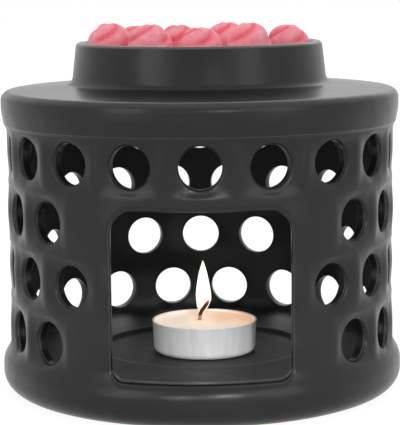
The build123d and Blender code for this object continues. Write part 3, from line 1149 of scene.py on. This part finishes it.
class MakeFlame(bpy.types.Operator):
    """Build the flame, which rides with the tea light"""
    bl_idname = "oil_burner.make_flame"
    bl_label = "Flame"

    def execute(self, context):
        tea = context.scene.burner_tea_light
        foot = wick_foot()
        foot.z = WAX_HIGH.z - tea.meniscus
        # Each row: how far up, the radius and the lean to the right, both as shares of the flame's radius
        shape = ((0.00, 0.35, 0.15), (0.05, 0.42, 0.20), (0.158, 0.59, 0.34), (0.21, 0.75, 0.40),
                 (0.316, 0.97, 0.54), (0.42, 1.00, 0.52), (0.526, 0.90, 0.50), (0.65, 0.74, 0.48),
                 (0.77, 0.56, 0.47), (0.88, 0.33, 0.48), (0.95, 0.15, 0.48), (0.99, 0.04, 0.46))
        heights, radii, leans = zip(*shape)
        # Low down the flame is thinner and stands behind the wick, which shows dark before it
        thin, full, far_back, near_back = 0.45, 0.9, 0.46, 0.25
        steps, around, lift = 48, 40, 0.2 * MM
        rings = []
        for number in range(steps + 1):
            up = heights[-1] * number / steps
            reach = np.interp(up, heights, radii) * tea.flame_radius
            lean = np.interp(up, heights, leans) * tea.flame_radius
            depth = reach * np.interp(up, (0.3, 0.6), (thin, full))
            back = tea.flame_radius * np.interp(up, (0.3, 0.9), (far_back, near_back))
            middle = foot + Vector((lean, back, lift + up * tea.flame_height))
            rings.append(([middle + Vector((reach * cos(angle), depth * sin(angle), 0))
                           for angle in round_angles(around)], up))
        bottom = foot + Vector((leans[0], far_back, 0)) * tea.flame_radius + Vector((0, 0, lift / 2))
        tip = foot + Vector((leans[-1], near_back, 0)) * tea.flame_radius
        tip += Vector((0, 0, tea.flame_height + lift))
        mesh = capped("flame", rings, bottom, tip)
        add_piece("flame", mesh, material("flame", paint_flame), "tea_light", None)
        return {"FINISHED"}


# The stage

def paint_floor(nodes, place, colour):
    """Pale floor that the camera sees as white, and that keeps the shadows that fall on it."""
    grain = nodes.noise(place, 40.0)
    pale = nodes.mix(grain * 0.2, colour, [value * 0.98 for value in colour])
    matt = nodes.add("ShaderNodeBsdfDiffuse", {"Color": pale})
    lift = nodes.add("ShaderNodeEmission", {"Color": (1, 1, 1, 1), "Strength": 1.2})
    return nodes.add("ShaderNodeMixShader", {0: nodes.seen() * 0.75, 1: matt, 2: lift})


def paint_surroundings(world, daylight):
    """White where it is seen or mirrored, and a plain level of light elsewhere."""
    world.use_nodes = True
    world.node_tree.nodes.clear()
    nodes = Nodes(world.node_tree)
    strength = daylight + nodes.seen() * (1 - daylight)
    light = nodes.add("ShaderNodeBackground", {"Color": (1, 1, 1, 1), "Strength": strength})
    nodes.add("ShaderNodeOutputWorld", {"Surface": light})


def add_lamp(name, kind, place, target, **settings):
    """A lamp that faces a target."""
    lamp = bpy.data.lights.new(name, kind)
    for setting, value in settings.items():
        setattr(lamp, setting, value)
    made = linked(name, lamp)
    made.location = place
    made.rotation_euler = (Vector(target) - Vector(place)).to_track_quat("-Z", "Y").to_euler()


class MakeStage(bpy.types.Operator):
    """Set the floor, the white surroundings, the lamps and the camera"""
    bl_idname = "oil_burner.make_stage"
    bl_label = "Stage"

    def execute(self, context):
        scene, stage = context.scene, context.scene.burner_stage
        surface = Surface()
        surface.faces.append(surface.row([(-4, -4, 0), (4, -4, 0), (4, 4, 0), (-4, 4, 0)]))
        mesh = surface.mesh("floor")
        mesh.materials.append(material("floor", paint_floor, stage.floor))
        linked("floor", mesh)
        scene.world = bpy.data.worlds.new("surroundings")
        paint_surroundings(scene.world, stage.daylight)
        for name, place, width, height, power in (
                ("left lamp", (-1.13, -1.17, 0.62), 0.7, 1.2, 5.5),
                ("right lamp", (1.16, -1.14, 0.62), 0.7, 1.2, 4.5),
                ("back lamp", (0.2, 1.2, 1.0), 1.2, 1.2, 3.5)):
            add_lamp(name, "AREA", place, BURNER_MIDDLE, shape="RECTANGLE", size=width, size_y=height,
                     energy=power)
        # Two narrow beams through the window, on the tea light
        for name, place, power in (("right beam", (0.27, -1.12, 0.40), 46),
                                   ("left beam", (-0.24, -1.12, 0.30), 16)):
            add_lamp(name, "SPOT", place, TEA_LIGHT_MIDDLE, energy=power, spot_size=radians(3.9),
                     spot_blend=0.25, shadow_soft_size=0.05)

        lens = bpy.data.cameras.new("camera")
        lens.lens, lens.sensor_width, lens.shift_x = 148.58, 36, -0.00143
        lens.clip_start, lens.clip_end = 0.01, 50
        camera = linked("camera", lens)
        looks_down, roll, stand = 8.05, -0.0101, (0, -0.634, 0.1526)
        turn = Matrix.Rotation(radians(90 - looks_down), 4, "X") @ Matrix.Rotation(roll, 4, "Z")
        camera.matrix_world = Matrix.Translation(stand) @ turn
        scene.camera = camera
        scene.view_settings.view_transform = "Standard"
        return {"FINISHED"}


class BurnerPanel(bpy.types.Panel):
    """Lists the burner's pieces and their settings"""
    bl_idname = "VIEW3D_PT_oil_burner"
    bl_label = "Oil Burner"
    bl_space_type = "VIEW_3D"
    bl_region_type = "UI"
    bl_category = "Oil Burner"

    def draw(self, context):
        for operator, groups in PANEL_ROWS:
            box = self.layout.box()
            box.operator(operator.bl_idname)
            for group in groups:
                settings = getattr(context.scene, group)
                for name in GROUPS[group].__annotations__:
                    box.prop(settings, name)


GROUPS = {"burner_body": BodySizes, "burner_openings": OpeningSizes, "burner_glaze": Glaze,
          "burner_melts": MeltFinish, "burner_tea_light": TeaLight, "burner_stage": StageLight}
PANEL_ROWS = ((MakeBody, ("burner_body", "burner_openings", "burner_glaze")), (MakeMelts, ("burner_melts",)),
              (MakeCup, ("burner_tea_light",)), (MakeWax, ()), (MakeWick, ()), (MakeFlame, ()),
              (MakeStage, ("burner_stage",)))
CLASSES = (*GROUPS.values(), *(operator for operator, _ in PANEL_ROWS), BurnerPanel)


def register():
    for shown in CLASSES:
        bpy.utils.register_class(shown)
    for name, group in GROUPS.items():
        setattr(bpy.types.Scene, name, PointerProperty(type=group))


def unregister():
    for name in GROUPS:
        delattr(bpy.types.Scene, name)
    for shown in reversed(CLASSES):
        bpy.utils.unregister_class(shown)


def main():
    register()
    bpy.ops.oil_burner.make_body()
    bpy.ops.oil_burner.make_melts()
    bpy.ops.oil_burner.make_cup()
    bpy.ops.oil_burner.make_wax()
    bpy.ops.oil_burner.make_wick()
    bpy.ops.oil_burner.make_flame()
    bpy.ops.oil_burner.make_stage()


if __name__ == "__main__":
    main()
